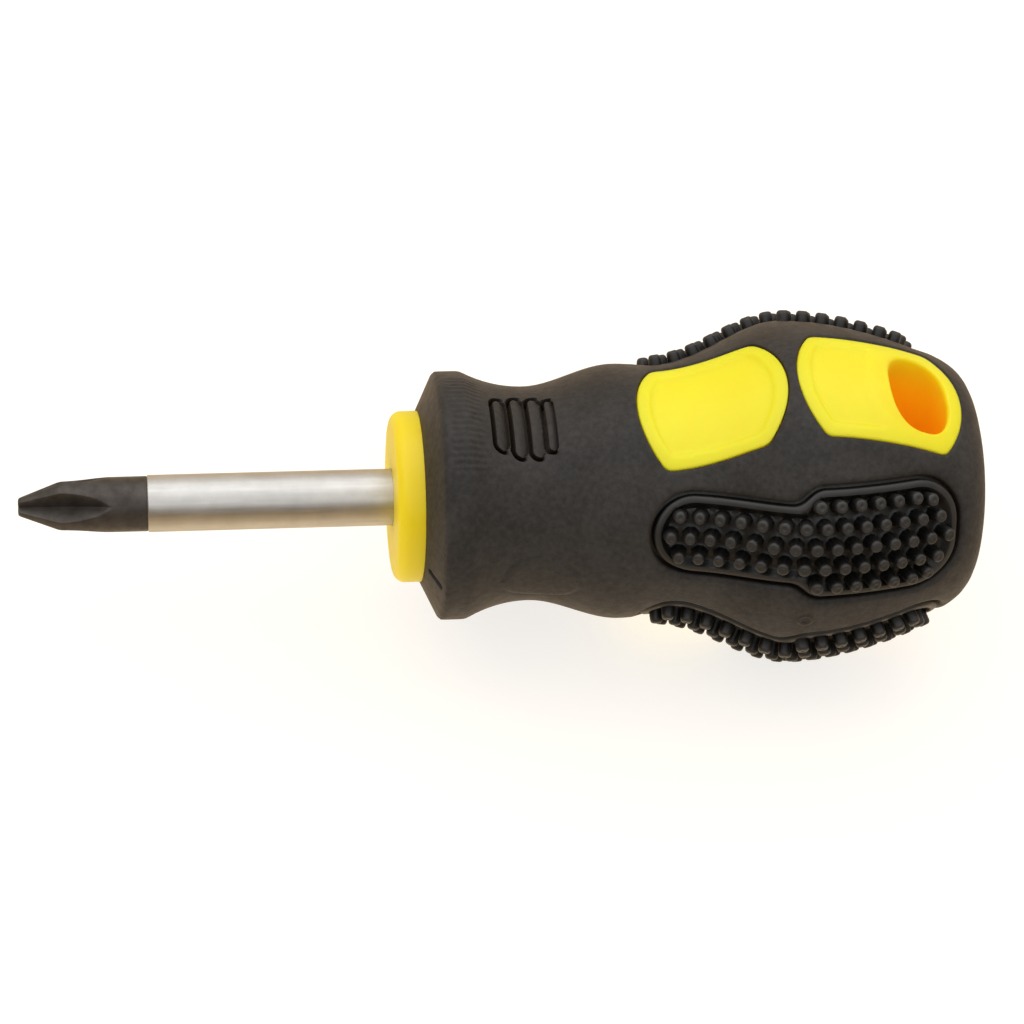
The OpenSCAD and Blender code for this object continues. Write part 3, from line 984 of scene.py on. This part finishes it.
def grip_material():
    n = Nodes("grip_rubber", Specular_IOR_Level=0.25, Sheen_Weight=0.12, Sheen_Roughness=0.5,
              Sheen_Tint=(0.62, 0.42, 0.26, 1))
    patches = n.math("MULTIPLY", n.math("ADD", n.noise(160, detail=4), n.noise(1700, detail=3)), 0.5)
    black = n.ramp(patches, [(0.38, (0.022, 0.020, 0.0185)), (0.62, (0.042, 0.0385, 0.0355))])
    # painted shade: the rubber's colour darkens to near black in the bars' slots, the grooves and round
    # the pads
    n.into("Base Color", n.painted_crevice_shade(black, (0.002, 0.0015, 0.001), 0.0012))
    n.into("Roughness", n.grey(n.noise(900, detail=4), 0.48, 0.62))
    fine = n.bump(n.noise(4200, detail=2), 0.45, 0.00007)
    n.into("Normal", n.bump(n.noise(1400, detail=2), 0.12, 0.0001, under=fine))
    return n.material


def pad_material():
    n = Nodes("pad_rubber", Specular_IOR_Level=0.55, Sheen_Weight=0.05, Sheen_Roughness=0.4,
              Sheen_Tint=(0.5, 0.4, 0.33, 1))
    blacks = [(0.3, (0.018, 0.0166, 0.0154)), (0.7, (0.028, 0.026, 0.024))]
    black = n.ramp(n.noise(300, detail=4), blacks)
    # painted shade: the pad's floor between the studs and its groove darken to near black
    n.into("Base Color", n.painted_crevice_shade(black, (0.001, 0.0009, 0.0008), 0.0022, 0.98))
    n.into("Roughness", n.grey(n.noise(1200, detail=3), 0.36, 0.5))
    n.into("Normal", n.bump(n.noise(6500, detail=2), 0.2, 0.00004))
    return n.material


MOUTH_SLOPE = 0.42                        # how the handle's surface falls along the hole's mouth
PAINTED_HOLE_GLOW = 0.10                          # painted glow on the hole's wall, in place of light through the plastic


def core_material():
    """Yellow plastic, a little deeper at the collar, with painted shade and a painted glow that turn it
    orange down in the hang hole.
    """
    n = Nodes("core_plastic", Specular_IOR_Level=0.4, Coat_Weight=0.05, Coat_Roughness=0.25,
              Subsurface_Weight=0.45, Subsurface_Scale=0.004)
    n.shader.inputs["Subsurface Radius"].default_value = (1.0, 0.5, 0.06)
    x, y, z = n.axes()
    yellow = n.ramp(n.noise(120, detail=3), [(0.3, (0.99, 0.80, 0.008)), (0.7, (1.0, 0.84, 0.014))])
    # Painted shade down the hang hole: deep orange, darkest on the wall towards the point and lighter
    # towards the butt
    across_hole = n.math("ADD", x, n.math("MULTIPLY", y, 0.6))
    share = n.grey(across_hole, 0, 1, (HOLE_X - 3.6) * MM, (HOLE_X + 3.8) * MM)
    orange = n.ramp(share, [(0.0, (0.88, 0.29, 0.002)), (0.45, (0.98, 0.44, 0.004)),
                            (1.0, (1.0, 0.66, 0.010))])
    deep = n.plain((1.0, 0.68, 0.008))
    off_axis = n.math("SUBTRACT", x, HOLE_X * MM)
    squares = n.math("ADD", n.math("MULTIPLY", off_axis, off_axis), n.math("MULTIPLY", y, y))
    away = n.math("SQRT", squares)
    height = n.math("ADD", n.math("ABSOLUTE", z), n.math("MULTIPLY", off_axis, MOUTH_SLOPE))
    near_axis = n.grey(away, 1, 0, 0.0042, 0.0056)
    sunk = n.grey(height, 1, 0, 0.0118, 0.0150)
    at_collar = n.grey(x, 0.75, 0, (COLLAR_X + 2) * MM, (COLLAR_X + 8) * MM)
    colour = n.mix(yellow, deep, at_collar)
    painted_hole_shade_and_glow = n.math("MULTIPLY", near_axis, sunk)
    n.into("Base Color", n.mix(colour, orange, painted_hole_shade_and_glow))
    # painted glow: the hole's wall gives off a little orange light
    n.shader.inputs["Emission Color"].default_value = (1, 0.28, 0.0, 1)
    n.into("Emission Strength", n.math("MULTIPLY", painted_hole_shade_and_glow, PAINTED_HOLE_GLOW))
    n.into("Roughness", n.grey(n.noise(700, detail=4), 0.34, 0.46))
    n.into("Normal", n.bump(n.noise(2600, detail=2), 0.06, 0.00005))
    return n.material


def shank_material():
    n = Nodes("steel_shank", Metallic=1.0, Anisotropic=0.3)
    lines = n.noise(3200, detail=3, stretch=(0.04, 1, 1))
    greys = [(0.3, (0.58, 0.565, 0.54)), (0.7, (0.66, 0.645, 0.62))]
    n.into("Base Color", n.ramp(n.noise(500, detail=4), greys))
    n.into("Roughness", n.grey(lines, 0.34, 0.5))
    speckle = n.bump(n.noise(2600, detail=3), 0.1, 0.00004)
    n.into("Normal", n.bump(lines, 0.05, 0.00003, under=speckle))
    return n.material


def point_material():
    n = Nodes("steel_black_point", Metallic=0.6, Specular_IOR_Level=0.4)
    blacks = [(0.3, (0.05, 0.042, 0.036)), (0.75, (0.10, 0.088, 0.077))]
    n.into("Base Color", n.ramp(n.noise(650, detail=5), blacks))
    n.into("Roughness", n.grey(n.noise(2400, detail=4), 0.34, 0.5))
    n.into("Normal", n.bump(n.noise(5200, detail=3), 0.12, 0.00004))
    return n.material


# ---------------------------------------------------------------- set: floor, lights, camera
FLOOR_HALF = 3.0                          # metres
FLOOR_GAP = 0.0002                        # metres under the tool
FLOOR_GLOW = 0.74                         # keeps the paper white without a harder light


def make_floor():
    size = FLOOR_HALF
    z = cad_low.z - FLOOR_GAP
    mesh = bpy.data.meshes.new("floor")
    corners = [(-size, -size, z), (size, -size, z), (size, size, z), (-size, size, z)]
    mesh.from_pydata(corners, [], [(0, 1, 2, 3)])
    floor = bpy.data.objects.new("floor", mesh)
    bpy.context.scene.collection.objects.link(floor)
    n = Nodes("floor_paper", Roughness=0.9)
    papers = [(0.3, (0.42, 0.36, 0.27)), (0.7, (0.45, 0.39, 0.30))]
    n.into("Base Color", n.ramp(n.noise(8, detail=2), papers))
    n.shader.inputs["Emission Color"].default_value = (1, 1, 1, 1)
    n.shader.inputs["Emission Strength"].default_value = FLOOR_GLOW
    mesh.materials.append(n.material)
    floor.visible_glossy = False


# The studio round the tool: (sine of the height above the horizon, colour), towards -Y and towards +Y.
FRONT_SKY = [(-1.0, (1.0, 0.80, 0.55)), (-0.15, (0.36, 0.24, 0.12)), (0.1, (0.25, 0.2, 0.14)),
             (0.4, (0.25, 0.23, 0.21)), (0.7, (1.15, 1.15, 1.15)), (1.0, (0.8, 0.8, 0.8))]
BACK_SKY = [(-1.0, (1.0, 0.80, 0.55)), (-0.1, (0.7, 0.52, 0.32)), (0.15, (0.75, 0.6, 0.42)),
            (0.5, (0.75, 0.71, 0.66)), (0.75, (0.6, 0.6, 0.6)), (1.0, (0.65, 0.65, 0.65))]
SKY_POWER = 1.02


def area_light(name, place, aim, size, power, colour=(1, 1, 1)):
    data = bpy.data.lights.new(name, "AREA")
    data.shape = "RECTANGLE"
    data.size, data.size_y = size
    data.energy = power
    data.color = colour
    light = bpy.data.objects.new(name, data)
    light.location = place
    light.rotation_mode = "QUATERNION"
    light.rotation_quaternion = (Vector(aim) - Vector(place)).to_track_quat("-Z", "Y")
    bpy.context.scene.collection.objects.link(light)


def make_lights():
    middle = (cad_low + cad_high) / 2
    area_light("overhead", middle + Vector((-0.02, 0.22, 0.62)), middle, (1.3, 0.7), 2.5)
    world = bpy.data.worlds.new("studio")
    world.use_nodes = True
    tree = world.node_tree
    ground = tree.nodes["Background"]
    where = tree.nodes.new("ShaderNodeTexCoord")
    split = tree.nodes.new("ShaderNodeSeparateXYZ")
    tree.links.new(where.outputs["Generated"], split.inputs["Vector"])
    sides = []
    for stops in (FRONT_SKY, BACK_SKY):
        height = tree.nodes.new("ShaderNodeMapRange")
        height.inputs["From Min"].default_value = -1
        tree.links.new(split.outputs["Z"], height.inputs["Value"])
        band = tree.nodes.new("ShaderNodeValToRGB")
        while len(band.color_ramp.elements) < len(stops):
            band.color_ramp.elements.new(0.5)
        for element, (at, colour) in zip(band.color_ramp.elements, stops):
            element.position = (at + 1) / 2
            element.color = (*colour, 1)
        tree.links.new(height.outputs["Result"], band.inputs["Fac"])
        sides.append(band.outputs["Color"])
    behind = tree.nodes.new("ShaderNodeMapRange")
    behind.inputs["From Min"].default_value = -0.35
    behind.inputs["From Max"].default_value = 0.35
    tree.links.new(split.outputs["Y"], behind.inputs["Value"])
    blend = tree.nodes.new("ShaderNodeMix")
    blend.data_type = "RGBA"
    tree.links.new(behind.outputs["Result"], blend.inputs["Factor"])
    tree.links.new(sides[0], blend.inputs[6])
    tree.links.new(sides[1], blend.inputs[7])
    tree.links.new(blend.outputs[2], ground.inputs["Color"])
    ground.inputs["Strength"].default_value = SKY_POWER
    bpy.context.scene.world = world


def make_camera():
    """Looks down on the -Y side, a little from the point's end, with a slight roll."""
    distance, elevation, towards_point, roll = 340.0, 51.5, 6.8, 1.6
    aim_share, lower = 0.509, 1.95
    focal_per_width = 3.1275
    e, a, t = (math.radians(v) for v in (elevation, towards_point, roll))
    up = Vector((0, math.sin(e), math.cos(e)))
    facing = Vector((0, -math.cos(e), math.sin(e)))
    along = Vector((1, 0, 0))
    back = facing * math.cos(a) - along * math.sin(a)
    right = along * math.cos(a) + facing * math.sin(a)
    image_right = right * math.cos(t) - up * math.sin(t)
    image_up = right * math.sin(t) + up * math.cos(t)
    data = bpy.data.cameras.new("camera")
    data.sensor_width = 36.0
    data.lens = focal_per_width * data.sensor_width
    data.clip_start, data.clip_end = 0.01, 10.0
    camera = bpy.data.objects.new("camera", data)
    aim = Vector((aim_share * BUTT_X, 0, 0)) - image_up * lower
    place = (aim + back * distance) * MM
    turn = Matrix((image_right, image_up, back)).transposed().to_4x4()
    camera.matrix_world = Matrix.Translation(place) @ turn
    bpy.context.scene.collection.objects.link(camera)
    bpy.context.scene.camera = camera


def main():
    rubber_black = grip_material()
    pad_black = pad_material()
    make_grip(rubber_black)
    for name, angle in PAD_ANGLES.items():
        make_pad(name, angle, pad_black)
    make_core(core_material())
    make_blade(shank_material(), point_material())
    make_floor()
    make_lights()
    make_camera()
    settings = bpy.context.scene.view_settings
    settings.view_transform = "Standard"
    settings.look = "None"


main()
